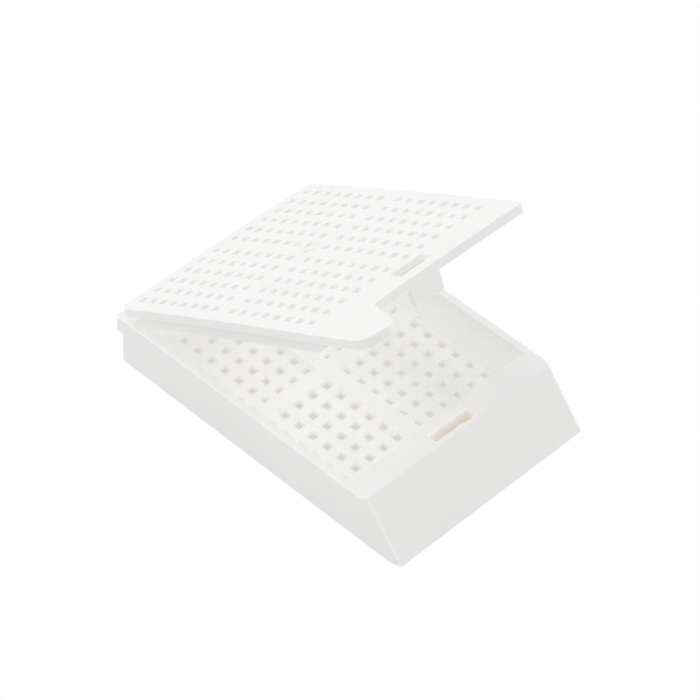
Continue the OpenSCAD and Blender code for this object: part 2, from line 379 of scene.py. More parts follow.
def merge_faces(test):
    """Makes the faces of one flat side that pass a test one face."""
    pick_faces(lambda c, n: test(c))
    bpy.ops.mesh.dissolve_faces()


def extrude(step):
    bpy.ops.mesh.extrude_region_move(TRANSFORM_OT_translate={"value": step})


def shift(step):
    bpy.ops.transform.translate(value=step)


def face_outwards():
    bpy.ops.mesh.select_all(action="SELECT")
    bpy.ops.mesh.normals_make_consistent(inside=False)


def start_sheet(name, x0, x1, half_w, z):
    """A flat sheet at its size and place, ready to be cut."""
    deselect_all()
    bpy.ops.mesh.primitive_plane_add(size=1, location=((x0 + x1) / 2, 0, z))
    sheet = bpy.context.object
    sheet.name = name
    sheet.data.name = name
    sheet.scale = (x1 - x0, 2 * half_w, 1)
    bpy.ops.object.transform_apply(location=True, rotation=True, scale=True)
    return sheet


def start_solid(name, outline, way):
    """A closed shape: a flat outline carried straight along a way."""
    deselect_all()
    bpy.ops.mesh.primitive_circle_add(vertices=len(outline), fill_type="NGON")
    solid = bpy.context.object
    solid.name = name
    solid.data.name = name
    for vertex, point in zip(solid.data.vertices, outline):
        vertex.co = point
    open_piece(solid)
    bpy.ops.mesh.select_all(action="SELECT")
    extrude(way)
    face_outwards()
    close_piece()
    return solid


def start_prism(name, profile, y_mid, width):
    """A closed shape with a profile in X and Z and a width across the tray."""
    outline = [(x, y_mid - width / 2, z) for x, z in profile]
    return start_solid(name, outline, (0, width, 0))


def ring(x, z, r, count, start=0.0, turn=2 * math.pi):
    """Points round a circle, or from end to end of an arc, in X and Z."""
    steps = count if turn == 2 * math.pi else count - 1
    angles = [start + turn * i / steps for i in range(count)]
    return [(x + r * math.cos(angle), z + r * math.sin(angle)) for angle in angles]


def round_corner(x, y, r):
    """Rounds the sheet's corner at a place."""
    here = Vector((x, y))
    pick("VERT", lambda v: (v.co.xy - here).length < 0.01)
    bpy.ops.mesh.bevel(offset=r, segments=7, profile=0.5, affect="VERTICES")


def hole_edges(places, width, side):
    """Where the edges of a row of holes lie, on one side of the grid's middle."""
    return [side * (place + edge * width / 2) for place in places for edge in (-1, 1)]


def in_hole(c, grid, xs, ys, width):
    near_x = min(abs(abs(c.x - grid) - x) for x in xs)
    near_y = min(abs(abs(c.y) - y) for y in ys)
    return near_x < width / 2 and near_y < width / 2


def trim(piece, cutter):
    """Takes one closed shape out of another."""
    take(piece)
    taken = piece.modifiers.new("trim", "BOOLEAN")
    taken.operation = "DIFFERENCE"
    taken.solver = "EXACT"
    taken.object = cutter
    bpy.ops.object.modifier_apply(modifier="trim")
    bpy.data.objects.remove(cutter, do_unlink=True)


def join_shells(piece, shells):
    """Makes finished closed shapes part of the moulding that they belong to."""
    take(piece)
    for shell in shells:
        shell.select_set(True)
    bpy.ops.object.join()


# The order of the plastics on each piece: plain faces, rounded edges with a painted highlight,
# and hollow corners with a painted glow
FACES, EDGES, CORNERS = 0, 1, 2


def soften_edges(piece, plastics, width_at, segments=2, fine=lambda c: False):
    """Rounds each edge by its own width, in the plastic of the edges, which carries a painted
    highlight.
    """
    for plastic in plastics:
        piece.data.materials.append(plastic)
    open_piece(piece)
    face_outwards()
    shape = bmesh.from_edit_mesh(piece.data)
    layer = shape.edges.layers.float.get("bevel_weight_edge")
    if layer is None:
        layer = shape.edges.layers.float.new("bevel_weight_edge")
    for edge in shape.edges:
        edge[layer] = 0.0
        if len(edge.link_faces) == 2 and edge.calc_face_angle(0) > LEAST_BEND:
            edge[layer] = width_at(edge, middle(edge), edge.is_convex)
    bmesh.update_edit_mesh(piece.data)
    close_piece()
    rounding = piece.modifiers.new("rounding", "BEVEL")
    rounding.limit_method = "WEIGHT"
    rounding.offset_type = "OFFSET"
    rounding.width = 1.0
    rounding.segments = segments
    rounding.material = EDGES
    rounding.use_clamp_overlap = False
    rounding.miter_outer = "MITER_SHARP"
    bpy.ops.object.modifier_apply(modifier="rounding")
    sort_rounds(piece, fine)


def sort_rounds(piece, fine):
    """Gives fine edges the faces' plastic, with no painted highlight, and hollow ones that of
    inner corners, with its painted glow.
    """
    shape = bmesh.new()
    shape.from_mesh(piece.data)
    for face in shape.faces:
        outward = sum(
            edge.calc_length() * (1 if edge.is_convex else -1)
            for edge in face.edges
            if len(edge.link_faces) == 2 and edge.calc_face_angle(0) > ONE_ROUND
        )
        if face.material_index == EDGES and fine(face.calc_center_median()):
            face.material_index = FACES
        elif face.material_index == EDGES and outward < 0:
            face.material_index = CORNERS
    shape.to_mesh(piece.data)
    shape.free()


def finish_piece(piece):
    """Makes the piece metres about the tray's middle, and shades it."""
    take(piece)
    piece.location = (-BASE_L / 2 * MM, 0, 0)
    piece.scale = (MM, MM, MM)
    bpy.ops.object.transform_apply(location=True, rotation=True, scale=True)
    bpy.ops.object.shade_smooth_by_angle(angle=SMOOTH_BELOW)
    flats = piece.modifiers.new("flats", "WEIGHTED_NORMAL")
    flats.mode = "FACE_AREA"
    flats.weight = 50
    flats.keep_sharp = True
    bpy.ops.object.modifier_apply(modifier="flats")


# ---- Material ----

def give(tree, value, step, socket):
    """Gives a socket a number or a colour, or what an earlier step puts out."""
    if isinstance(value, tuple) and isinstance(value[0], bpy.types.Node):
        tree.links.new(value[0].outputs[value[1]], step.inputs[socket])
    else:
        step.inputs[socket].default_value = value


def reckon(tree, kind, first, second=None):
    """One arithmetic step."""
    step = tree.nodes.new("ShaderNodeMath")
    step.operation = kind
    give(tree, first, step, 0)
    if second is not None:
        give(tree, second, step, 1)
    return (step, 0)


def product(tree, values):
    total = values[0]
    for value in values[1:]:
        total = reckon(tree, "MULTIPLY", total, value)
    return total


def scaled(tree, colour, share):
    """A colour times a value."""
    step = tree.nodes.new("ShaderNodeVectorMath")
    step.operation = "SCALE"
    give(tree, colour, step, 0)
    give(tree, share, step, "Scale")
    return (step, 0)


def ramp(tree, value, span, low=0.0, high=1.0):
    """Goes from low to high as a value goes through a span."""
    step = tree.nodes.new("ShaderNodeMapRange")
    step.inputs["From Min"].default_value = span[0]
    step.inputs["From Max"].default_value = span[1]
    step.inputs["To Min"].default_value = low
    step.inputs["To Max"].default_value = high
    give(tree, value, step, "Value")
    return (step, "Result")


def up_to(tree, value, place, near=JUST_PAST, far=PAST):
    """1 up to just past a place, and 0 further on."""
    return ramp(tree, value, (place + near, place + far), 1, 0)


def from_here(tree, value, place, far=PAST):
    """1 from just before a place on, and 0 further back."""
    return ramp(tree, value, (place - far, place - JUST_PAST))


def new_group(name, ins, outs):
    group = bpy.data.node_groups.new(name, "ShaderNodeTree")
    for kind, sockets in (("INPUT", ins), ("OUTPUT", outs)):
        for label, socket in sockets:
            group.interface.new_socket(label, in_out=kind, socket_type="NodeSocket" + socket)
    return group, group.nodes.new("NodeGroupInput"), group.nodes.new("NodeGroupOutput")


def stations(tree, place):
    """A place on the piece as station, half width and height in millimetres."""
    parts = tree.nodes.new("ShaderNodeSeparateXYZ")
    give(tree, place, parts, "Vector")
    x = reckon(tree, "MULTIPLY", (parts, "X"), 1 / MM)
    x = reckon(tree, "ADD", x, BASE_L / 2)
    y = reckon(tree, "MULTIPLY", (parts, "Y"), 1 / MM)
    y = reckon(tree, "ABSOLUTE", y)
    z = reckon(tree, "MULTIPLY", (parts, "Z"), 1 / MM)
    return x, y, z


def put_out_glow(group, start, end, shares):
    """Adds each mask's own painted glow to the painted glow that every edge carries."""
    total = (start, "Edges")
    for mask, label in shares:
        share = scaled(group, (start, label), mask)
        both = group.nodes.new("ShaderNodeVectorMath")
        both.operation = "ADD"
        give(group, total, both, 0)
        give(group, share, both, 1)
        total = (both, 0)
    give(group, total, end, "Glow")


def put_out_plastic(group, start, end, deep):
    """The plastic's colour, with painted shade that dims it where a hole is deep."""
    tone = ramp(group, deep, (0.0, 1.0), 1, HOLE_PAINTED_SHADE)
    give(group, scaled(group, (start, "Plastic"), tone), end, "Plastic")


def painted_light_through_walls():
    """Painted glow, standing in for light that the thin walls let into the tray, its holes and
    the hollow.
    """
    group, start, end = new_group(
        "painted light through walls",
        [("Place", "Vector"), ("Plastic", "Color"), ("Tray", "Color"), ("Holes", "Color"),
         ("Hollow", "Color"), ("Edges", "Color")],
        [("Plastic", "Color"), ("Glow", "Color")],
    )
    x, y, z = stations(group, (start, "Place"))
    within = up_to(group, y, WALL, 0.01, 0.05)
    tray = product(group, [
        within,
        from_here(group, x, TRAY_REAR, 0.1),
        up_to(group, x, RECESS_END),
    ])
    above = product(group, [
        tray,
        from_here(group, z, FLOOR, 0.07),
        ramp(group, z, TRAY_TOP_FADE, 1, 0),
        ramp(group, x, FRONT_FADE, 1, FRONT_SHADE),
        ramp(group, x, REAR_FADE, REAR_SHADE, 1),
    ])
    # Deep in the floor's holes, where the plastic's colour is dimmed by painted shade
    deep = product(group, [tray, ramp(group, z, (FLOOR - 0.1, FLOOR - JUST_PAST), 1, 0)])
    put_out_plastic(group, start, end, deep)
    # Painted glow in the holes, dimmer towards their bottoms as painted shade
    holes = product(group, [deep, ramp(group, z, HOLE_FADE, HOLE_FOOT_SHADE, 1)])
    slanted = reckon(group, "ADD", x, reckon(group, "MULTIPLY", z, SLOPE))
    hollow = product(group, [
        within,
        from_here(group, x, FRONT_WALL),
        up_to(group, slanted, HOLLOW_END, 0.04, 0.1),
        ramp(group, z, HOLLOW_FADE, 1, 0),
    ])
    # Painted glow inside the latch slot
    slot = product(group, [
        up_to(group, y, SLOT_Y),
        from_here(group, x, SLOT[0]),
        up_to(group, x, RELIEF_TOP),
        ramp(group, z, SLOT_FOOT_FADE),
        ramp(group, z, SLOT_TOP_FADE, SLOT_GAIN, 0),
    ])
    # Painted glow on the rim's top near its rear end, under the lid
    rim = product(group, [
        from_here(group, z, RIM, 0.1),
        ramp(group, x, RIM_RISE),
        ramp(group, x, RIM_FADE, RIM_GAIN, 0),
    ])
    put_out_glow(group, start, end, (
        (above, "Tray"), (holes, "Holes"), (hollow, "Hollow"), (slot, "Tray"), (rim, "Tray"),
    ))
    return group


def painted_light_through_lid():
    """Painted glow, standing in for light that the thin plate lets into its holes, its window and
    its underside.
    """
    group, start, end = new_group(
        "painted light through lid",
        [("Place", "Vector"), ("Plastic", "Color"), ("Holes", "Color"), ("Edges", "Color")],
        [("Plastic", "Color"), ("Glow", "Color")],
    )
    pin = Vector(((PIN_X - BASE_L / 2) * MM, 0, PIN_Z * MM))
    shut = group.nodes.new("ShaderNodeMapping")
    shut.inputs["Rotation"].default_value = (0, LID_OPEN, 0)
    shut.inputs["Location"].default_value = pin - Matrix.Rotation(LID_OPEN, 3, "Y") @ pin
    give(group, (start, "Place"), shut, "Vector")
    x, y, z = stations(group, (shut, "Vector"))
    from_grid = reckon(group, "ABSOLUTE", reckon(group, "SUBTRACT", x, LID_GRID))
    # The depth below the top of the bowed plate, which falls away from its middle
    falls = [
        reckon(group, "MULTIPLY", reckon(group, "MULTIPLY", away, away), bow / reach ** 2)
        for away, bow, reach in ((from_grid, BOW_LONG, BOW_REACH), (y, BOW_ACROSS, BOW_SIDE))
    ]
    deep = reckon(group, "SUBTRACT", LID_TOP + BOW_LONG + BOW_ACROSS, z)
    for fall in falls:
        deep = reckon(group, "SUBTRACT", deep, fall)
    plate = product(group, [
        up_to(group, from_grid, WINDOW_X[1] - LID_GRID),
        up_to(group, y, LID_Y[-1] + LID_HOLE / 2),
        ramp(group, deep, LID_HOLE_FADE),
        up_to(group, deep, LID_T, 0.05, 0.15),
    ])
    # The plastic's colour gets painted shade deep in the lid's holes and window
    put_out_plastic(group, start, end, plate)
    # At the window's foot the painted glow fades as painted shade, and it comes back on the
    # underside
    foot = reckon(
        group, "MAXIMUM",
        ramp(group, deep, WINDOW_FOOT_FADE, 1, WINDOW_FOOT_SHADE),
        ramp(group, deep, UNDERSIDE_RISE),
    )
    put_out_glow(group, start, end, ((product(group, [plate, foot]), "Holes"),))
    return group


def moulded_skin():
    """Fine grain, faint flow clouds and uneven sheen of a moulded face."""
    group, start, end = new_group(
        "moulded skin",
        [("Place", "Vector"), ("Plastic", "Color"), ("Sheen", "Float"), ("Grain", "Float")],
        [("Color", "Color"), ("Roughness", "Float"), ("Normal", "Vector")],
    )
    grain = group.nodes.new("ShaderNodeTexNoise")
    grain.inputs["Scale"].default_value = GRAIN_SCALE
    grain.inputs["Detail"].default_value = 3
    give(group, (start, "Place"), grain, "Vector")
    clouds = group.nodes.new("ShaderNodeTexNoise")
    clouds.inputs["Scale"].default_value = CLOUD_SCALE
    clouds.inputs["Detail"].default_value = 4
    clouds.inputs["Roughness"].default_value = 0.6
    give(group, (start, "Place"), clouds, "Vector")
    tone = ramp(group, (clouds, "Fac"), NOISE_SPAN, *CLOUD_TONE)
    give(group, scaled(group, (start, "Plastic"), tone), end, "Color")
    change = ramp(group, (clouds, "Fac"), NOISE_SPAN, *CLOUD_ROUGH)
    speck = ramp(group, (grain, "Fac"), NOISE_SPAN, *GRAIN_ROUGH)
    rough = reckon(group, "ADD", change, speck)
    rough = reckon(group, "ADD", rough, (start, "Sheen"))
    give(group, rough, end, "Roughness")
    bump = group.nodes.new("ShaderNodeBump")
    bump.inputs["Distance"].default_value = GRAIN_DEEP
    give(group, (start, "Grain"), bump, "Strength")
    give(group, (grain, "Fac"), bump, "Height")
    give(group, (bump, "Normal"), end, "Normal")
    return group


SKIN = moulded_skin()


def white_acetal(name, light, lights, grain):
    """One white plastic, with the skin of a moulding and a painted glow that stands in for light
    from within.
    """
    plastic = bpy.data.materials.new(name)
    plastic.use_nodes = True
    tree = plastic.node_tree
    face = tree.nodes["Principled BSDF"]
    place = tree.nodes.new("ShaderNodeTexCoord")
    skin = tree.nodes.new("ShaderNodeGroup")
    skin.node_tree = SKIN
    skin.inputs["Sheen"].default_value = SHEEN
    skin.inputs["Grain"].default_value = grain
    give(tree, (place, "Object"), skin, "Place")
    give(tree, (skin, "Color"), face, "Base Color")
    give(tree, (skin, "Roughness"), face, "Roughness")
    give(tree, (skin, "Normal"), face, "Normal")
    inner = tree.nodes.new("ShaderNodeGroup")
    inner.node_tree = light
    for label, colour in {**lights, "Plastic": ACETAL}.items():
        inner.inputs[label].default_value = colour
    give(tree, (place, "Object"), inner, "Place")
    give(tree, (inner, "Plastic"), skin, "Plastic")
    give(tree, (inner, "Glow"), face, "Emission Color")
    face.inputs["Emission Strength"].default_value = 1.0
    return plastic


def plastics_of(piece, light, lights, grain, edge_painted_highlights):
    """A piece's plastics: copies of one acetal that differ in the painted highlight that their
    edges carry.
    """
    return [
        white_acetal(f"{piece} {label}", light, {**lights, "Edges": edge_painted_highlight}, grain)
        for label, edge_painted_highlight in edge_painted_highlights.items()
    ]


BASE_PLASTICS = plastics_of(
    "base", painted_light_through_walls(),
    {"Tray": TRAY_PAINTED_GLOW, "Holes": HOLE_PAINTED_GLOW, "Hollow": HOLLOW_PAINTED_GLOW}, BASE_GRAIN,
    {"acetal": DARK, "edge acetal with painted highlight": EDGE_PAINTED_HIGHLIGHT, "corner acetal with painted glow": CORNER_PAINTED_GLOW},
)
LID_PLASTICS = plastics_of(
    "lid", painted_light_through_lid(), {"Holes": LID_HOLE_PAINTED_GLOW}, LID_GRAIN,
    {"acetal": DARK, "edge acetal with painted highlight": LID_EDGE_PAINTED_HIGHLIGHT},
)


# ---- Base ----

def in_tray(c):
    return TRAY_REAR < c.x < TRAY_FRONT and abs(c.y) < WALL


def in_divider(c):
    return abs(c.x - FLOOR_GRID) < BAND_X or abs(c.y) < BAND_Y


def in_recess(c):
    return TRAY_FRONT < c.x < RECESS_END and abs(c.y) < RECESS_Y


def in_notch(c):
    return c.x < TRAY_REAR and NOTCH_Y[0] < abs(c.y) < NOTCH_Y[1]


def in_hollow(c):
    return FRONT_WALL < c.x < HOLLOW_END and abs(c.y) < WALL


def raise_where(z, step, test):
    """Raises the faces at one height that pass a test."""
    pick_faces(lambda c, n: abs(c.z - z) < NEAR and test(c))
    extrude((0, 0, step))


def close_hollow():
    """Closes the hollow behind the writing face at the ledge's underside."""
    def on_rim(edge):
        c = middle(edge)
        if sum(abs(v.co.z - LEDGE_UNDER) for v in edge.verts) > NEAR:
            return False
        on_side = abs(abs(c.y) - WALL) < NEAR and FRONT_WALL < c.x < HOLLOW_END
        on_end = min(abs(c.x - FRONT_WALL), abs(c.x - HOLLOW_END)) < NEAR and abs(c.y) < WALL
        return on_side or on_end

    pick("EDGE", on_rim)
    bpy.ops.mesh.edge_face_add()


def open_slot():
    """Opens the latch's slot through the ledge."""
    for z, relief in ((RIM, RELIEF_TOP), (LEDGE_UNDER, RELIEF_UNDER)):
        def on_level(c):
            return abs(c.z - z) < NEAR and c.x > TRAY_FRONT

        def in_relief_half(c):
            return on_level(c) and RELIEF_Y < c.y < SLOT_Y and c.x > SLOT[1]

        def in_slot(c):
            return on_level(c) and SLOT[0] < c.x < SLOT[1] and abs(c.y) < SLOT_Y

        for y in (-SLOT_Y, SLOT_Y):
            cut(1, y, on_level)
        for x in SLOT:
            cut(0, x, lambda c: on_level(c) and abs(c.y) < SLOT_Y)
        cut(1, RELIEF_Y, lambda c: on_level(c) and abs(c.y) < SLOT_Y and c.x > SLOT[0])
        cut(0, relief, in_relief_half)
        delete_faces(lambda c: in_slot(c) or in_relief_half(c) and c.x < relief)
    pick("EDGE", lambda e: e.is_boundary)
    bpy.ops.mesh.bridge_edge_loops()


def pull_out_lip():
    """Pulls the lip out of the rear wall's top, round its two corners."""
    def on_rear(c, n):
        flat = abs(c.x - LIP_OUT) < NEAR and n.x < -0.5
        corner = c.x < LIP_OUT + REAR_R and abs(c.y) > HALF_W - REAR_R and abs(n.z) < 0.1
        return LIP_FOOT < c.z < RIM and (flat or corner) and not in_notch(c)

    pick_faces(on_rear)
    extrude((0, 0, 0))
    shape = bmesh.from_edit_mesh(bpy.context.edit_object.data)
    for v in shape.verts:
        if not v.select:
            continue
        side = math.copysign(1, v.co.y)
        past = abs(v.co.y) - (HALF_W - REAR_R)
        if past > -NEAR:
            turn = math.atan2(max(past, 0), LIP_OUT + REAR_R - v.co.x)
            v.co.x = LIP_R * (1 - math.cos(turn))
            v.co.y = side * (HALF_W - LIP_R + LIP_R * math.sin(turn))
        else:
            v.co.x = 0
            if abs(v.co.y) > NOTCH_Y[1]:
                share = (abs(v.co.y) - NOTCH_Y[1]) / (HALF_W - REAR_R - NOTCH_Y[1])
                v.co.y = side * (NOTCH_Y[1] + share * (HALF_W - LIP_R - NOTCH_Y[1]))
    bmesh.update_edit_mesh(bpy.context.edit_object.data)


def side_step_cutter(side):
    """What the thin step takes from the outer top edge of one side wall."""
    profile = [(STEP_START, STEP_FOOT), (BASE_L, STEP_FOOT)]
    profile += [(x, RIM + OVER) for x, z in reversed(profile)]
    return start_prism("side_step", profile, side * (HALF_W - STEP_DEEP + OVER / 2), OVER)


def front_corner_cutter(side):
    """What the round on one side of the writing face takes away."""
    slant = math.atan2(RIM, BASE_L - LEDGE_EDGE)
    along = Vector((math.cos(slant), 0, -math.sin(slant)))
    inward = Vector((-math.sin(slant), 0, -math.cos(slant)))
    first = math.asin(CORNER_SINK / CORNER_R)
    turns = [first * (1 - i / CORNER_STEPS) for i in range(CORNER_STEPS + 1)]
    arc = [
        (CORNER_SINK - CORNER_R * math.sin(turn), HALF_W - CORNER_R + CORNER_R * math.cos(turn))
        for turn in turns
    ]
    profile = [(-CORNER_PAST, arc[0][1] - CORNER_PAST * math.tan(CORNER_LEAN))] + arc
    profile += [(CORNER_SINK, HALF_W + OVER), (-CORNER_PAST, HALF_W + OVER)]
    top = Vector((LEDGE_EDGE, 0, RIM))
    outline = [
        top + inward * deep - along * CORNER_BACK + Vector((0, side * y, 0))
        for deep, y in profile
    ]
    return start_solid("front_corner", outline, along * CORNER_LONG)


def base_edge_width(edge, c, convex):
    """How wide the rounding of an edge of the base is."""
    low = min(v.co.z for v in edge.verts)
    if TRAY_REAR - NEAR < c.x < TRAY_FRONT + NEAR and abs(c.y) < WALL + NEAR:
        from_wall = min(abs(abs(c.y) - WALL), abs(c.x - TRAY_REAR), abs(c.x - TRAY_FRONT))
        if not convex:
            if low < FLOOR - NEAR:
                return 0.0
            return WALL_FOOT if from_wall < NEAR else DIVIDER_FOOT
        if abs(c.z - FLOOR) < NEAR:
            return HOLE_RIM
        if abs(c.z) < NEAR:
            return HOLE_FOOT
        if abs(c.z - DIVIDER) < NEAR:
            return DIVIDER_TOP
    if not convex:
        return 0.0
    if abs(c.z - STEP_FOOT) < NEAR:
        return STEP_EDGE
    if c.x < TRAY_REAR + NEAR:
        if abs(c.z - LIP_FOOT) < NEAR:
            return LIP_UNDER_EDGE if abs(c.y) < HALF_W - LIP_R - NEAR else 0.0
        return REAR_OUTLINE if c.z < NEAR or c.z > RIM - NEAR else OTHER_EDGE
    at_slot = SLOT[0] - NEAR < c.x < RELIEF_TOP + NEAR and abs(c.y) < SLOT_Y + NEAR
    if at_slot and low > LEDGE_UNDER - NEAR:
        return SLOT_RIM if c.z > RIM - NEAR else 0.0
    return OTHER_EDGE


def fine_on_base(c):
    """Whether a rounding is one too fine to carry a painted highlight: in the tray, along the
    side steps, on the inner rim, at the recess, and along the ledge's front edge."""
    if in_tray(c) and c.z < RIM - BELOW_RIM or abs(c.z - STEP_FOOT) < BY_STEP:
        return True
    if c.x < TRAY_FRONT - BY_RIM:
        return c.z > RIM - BY_RIM and abs(abs(c.y) - WALL) < BY_WALL
    if c.x < RECESS_END + BY_WALL:
        return abs(abs(c.y) - RECESS_Y) < BY_WALL
    return c.z > RIM - BY_RIM and abs(c.x - LEDGE_EDGE) < BY_RIM


def lay_out_base():
    """Cuts the base's plan into the fields that are raised to their own heights."""
    for side in (-1, 1):
        round_corner(LIP_OUT, side * HALF_W, REAR_R)
    for x in (TRAY_REAR, TRAY_FRONT, FRONT_WALL, HOLLOW_END):
        cut(0, x)
    for side in (-1, 1):
        cut(1, side * WALL)
        for y in NOTCH_Y:
            cut(1, side * y, lambda c: c.x < TRAY_REAR)
    cut(0, RECESS_END, lambda c: TRAY_FRONT < c.x < FRONT_WALL and abs(c.y) < WALL)
    for side in (-1, 1):
        cut(1, side * RECESS_Y, lambda c: TRAY_FRONT < c.x < RECESS_END and abs(c.y) < WALL)
        for x in hole_edges(FLOOR_X, FLOOR_HOLE, side):
            cut(0, FLOOR_GRID + x, in_tray)
        for y in hole_edges(FLOOR_Y, FLOOR_HOLE, side):
            cut(1, y, in_tray)
    delete_faces(
        lambda c: in_hollow(c)
        or in_tray(c) and in_hole(c, FLOOR_GRID, FLOOR_X, FLOOR_Y, FLOOR_HOLE)
    )


def build_base():
    """The tray, raised from its plan, with its hinge lip, latch ledge and writing face."""
    base = start_sheet("base_shell", LIP_OUT, BASE_L, HALF_W, 0)
    open_piece(base)
    lay_out_base()
    pick_all_faces()
    extrude((0, 0, FLOOR))
    raise_where(FLOOR, DIVIDER - FLOOR, lambda c: not in_tray(c) or in_divider(c))
    raise_where(DIVIDER, LIP_FOOT - DIVIDER, lambda c: not in_tray(c) and not in_recess(c))
    raise_where(LIP_FOOT, NOTCH_FOOT - LIP_FOOT, lambda c: True)
    raise_where(NOTCH_FOOT, LEDGE_UNDER - NOTCH_FOOT, lambda c: not in_notch(c))
    close_hollow()
    raise_where(LEDGE_UNDER, RIM - LEDGE_UNDER, lambda c: True)
    close_hollow()
    for z in (FLOOR, DIVIDER, LIP_FOOT, NOTCH_FOOT, LEDGE_UNDER, RIM):
        pick("VERT", lambda v: v.co.x > HOLLOW_END - NEAR and abs(v.co.z - z) < NEAR)
        shift((-SLOPE * z, 0, 0))
    merge_faces(lambda c: abs(c.z - RIM) < NEAR and c.x > TRAY_FRONT)
    open_slot()
    pull_out_lip()
    merge_faces(lambda c: abs(c.z - RIM) < NEAR and c.x < TRAY_REAR)
    merge_faces(lambda c: abs(c.z - LIP_FOOT) < NEAR and c.x < LIP_OUT + REAR_R)
    face_outwards()
    close_piece()
    for side in (-1, 1):
        bore = ring(PIN_X, PIN_Z, BORE_R, PIN_POINTS)
        trim(base, start_prism("bore", bore, side * HINGE_Y, BORE_W))
        trim(base, side_step_cutter(side))
        trim(base, front_corner_cutter(side))
    soften_edges(base, BASE_PLASTICS, base_edge_width, fine=fine_on_base)
    (x0, x1), (z0, z1) = NUB_X, NUB_Z
    profile = [(x0, z0), (x1, z0), (x1, z1), (x0, z1)]
    nubs = [start_prism("nub", profile, side * NUB_Y, NUB_W) for side in (-1, 1)]
    for nub in nubs:
        soften_edges(nub, BASE_PLASTICS, lambda edge, c, convex: NUB_EDGE)
    join_shells(base, nubs)
    finish_piece(base)
    return base


# ---- Lid ----

def over_holes(c):
    """Whether a place is in the field of the small holes, or close beside it."""
    return abs(c.x - LID_GRID) < LID_X[-1] + 1 and abs(c.y) < LID_Y[-1] + 1


def in_window(c):
    return WINDOW_X[0] < c.x < WINDOW_X[1] and abs(c.y) < WINDOW_Y


def lid_edge_width(edge, c, convex):
    """How wide the rounding of an edge of the lid's plate is."""
    if not convex:
        return 0.0
    end, side = LID_MARGIN
    inside = LID_REAR + end < c.x < LID_FRONT - end and abs(c.y) < HALF_W - side
    if c.z > LID_TOP - NEAR:
        if (c.xy - Vector((LID_GRID, 0))).length < GATE_R + 0.01:
            return GATE_EDGE
        if inside:
            return LID_HOLE_RIM
        return TAB_OUTLINE if c.x > LID_FRONT + NEAR else LID_OUTLINE
    flat = abs(edge.verts[0].co.z - edge.verts[1].co.z) < NEAR
    if flat and abs(c.z - LID_UNDER) < NEAR:
        return LID_HOLE_FOOT if inside else LID_OUTLINE
    return 0.0


def upright_cylinder(count, r, height, z):
    """A round closed shape on the gate's middle."""
    deselect_all()
    bpy.ops.mesh.primitive_cylinder_add(
        vertices=count, radius=r, depth=height, location=(LID_GRID, 0, z)
    )
    return bpy.context.object


def outline_lid():
    """Pulls the finger tab out of the plate's front, and rounds the corners."""
    cut(1, TAB_Y)
    pick("EDGE", lambda e: abs(middle(e).x - LID_FRONT) < NEAR and middle(e).y < TAB_Y)
    bpy.ops.mesh.extrude_edges_move(
        TRANSFORM_OT_translate={"value": (TAB_TIP - LID_FRONT, 0, 0)}
    )
    pick("VERT", lambda v: v.co.x > TAB_TIP - NEAR and v.co.y < TAB_Y - NEAR)
    shift((-TAB_SKEW, 0, 0))
    pick("VERT", lambda v: v.co.x > TAB_TIP - NEAR)
    shift((0, -TAB_TAPER, 0))
    pick_all_faces()
    bpy.ops.mesh.dissolve_faces()
    for side in (-1, 1):
        round_corner(LID_REAR, side * HALF_W, LID_REAR_R)
    round_corner(LID_FRONT, HALF_W, LID_FRONT_R)
    round_corner(TAB_TIP, TAB_Y - TAB_TAPER, TAB_IN_R)
    round_corner(TAB_TIP - TAB_SKEW, -HALF_W, TAB_OUT_R)


def build_lid():
    """The perforated plate with all that hangs under it, standing open."""
    lid = start_sheet("lid_shell", LID_REAR, LID_FRONT, HALF_W, LID_UNDER)
    open_piece(lid)
    outline_lid()
    for side in (-1, 1):
        for x in hole_edges(LID_X, LID_HOLE, side):
            cut(0, LID_GRID + x)
    for x in WINDOW_X:
        cut(0, x)
    for side in (-1, 1):
        for y in hole_edges(LID_Y, LID_HOLE, side):
            cut(1, y)
        cut(1, side * WINDOW_Y, lambda c: WINDOW_X[0] < c.x < WINDOW_X[1])
    delete_faces(lambda c: in_hole(c, LID_GRID, LID_X, LID_Y, LID_HOLE) or in_window(c))
    pick_all_faces()
    extrude((0, 0, LID_T))
    face_outwards()
    close_piece()
    trim(lid, upright_cylinder(24, GATE_R, OVER, LID_TOP - GATE_DEEP + OVER / 2))
    soften_edges(lid, LID_PLASTICS, lid_edge_width, segments=3, fine=over_holes)
    bow_lid(lid)
    shells = lid_details()
    for shell in shells:
        soften_edges(shell, LID_PLASTICS, lambda edge, c, convex: SMALL_PART_EDGE)
    join_shells(lid, shells)
    pin = Vector((PIN_X, 0, PIN_Z))
    turn = Matrix.Rotation(-LID_OPEN, 4, "Y")
    lid.data.transform(Matrix.Translation(pin) @ turn @ Matrix.Translation(-pin))
    finish_piece(lid)
    return lid


def bow_lid(lid):
    """Bows the plate a little upwards in the middle, as it springs from the mould."""
    for vertex in lid.data.vertices:
        along = min(1, abs(vertex.co.x - LID_GRID) / BOW_REACH)
        across = min(1, abs(vertex.co.y) / BOW_SIDE)
        vertex.co.z += BOW_LONG * (1 - along ** 2) + BOW_ACROSS * (1 - across ** 2)


def rib_profile():
    """A rib's side: upright and slanted at the rear, and round at its front foot."""
    start, end = RIB_X
    top = LID_UNDER + SUNK
    slant_long, slant_high = RIB_SLANT
    rear = [(start, top), (start, RIB_Z + slant_high), (start + slant_long, RIB_Z)]
    foot = ring(end - RIB_R, RIB_Z + RIB_R, RIB_R, 9, -math.pi / 2, math.pi / 2)
    return rear + foot + [(end, top)]


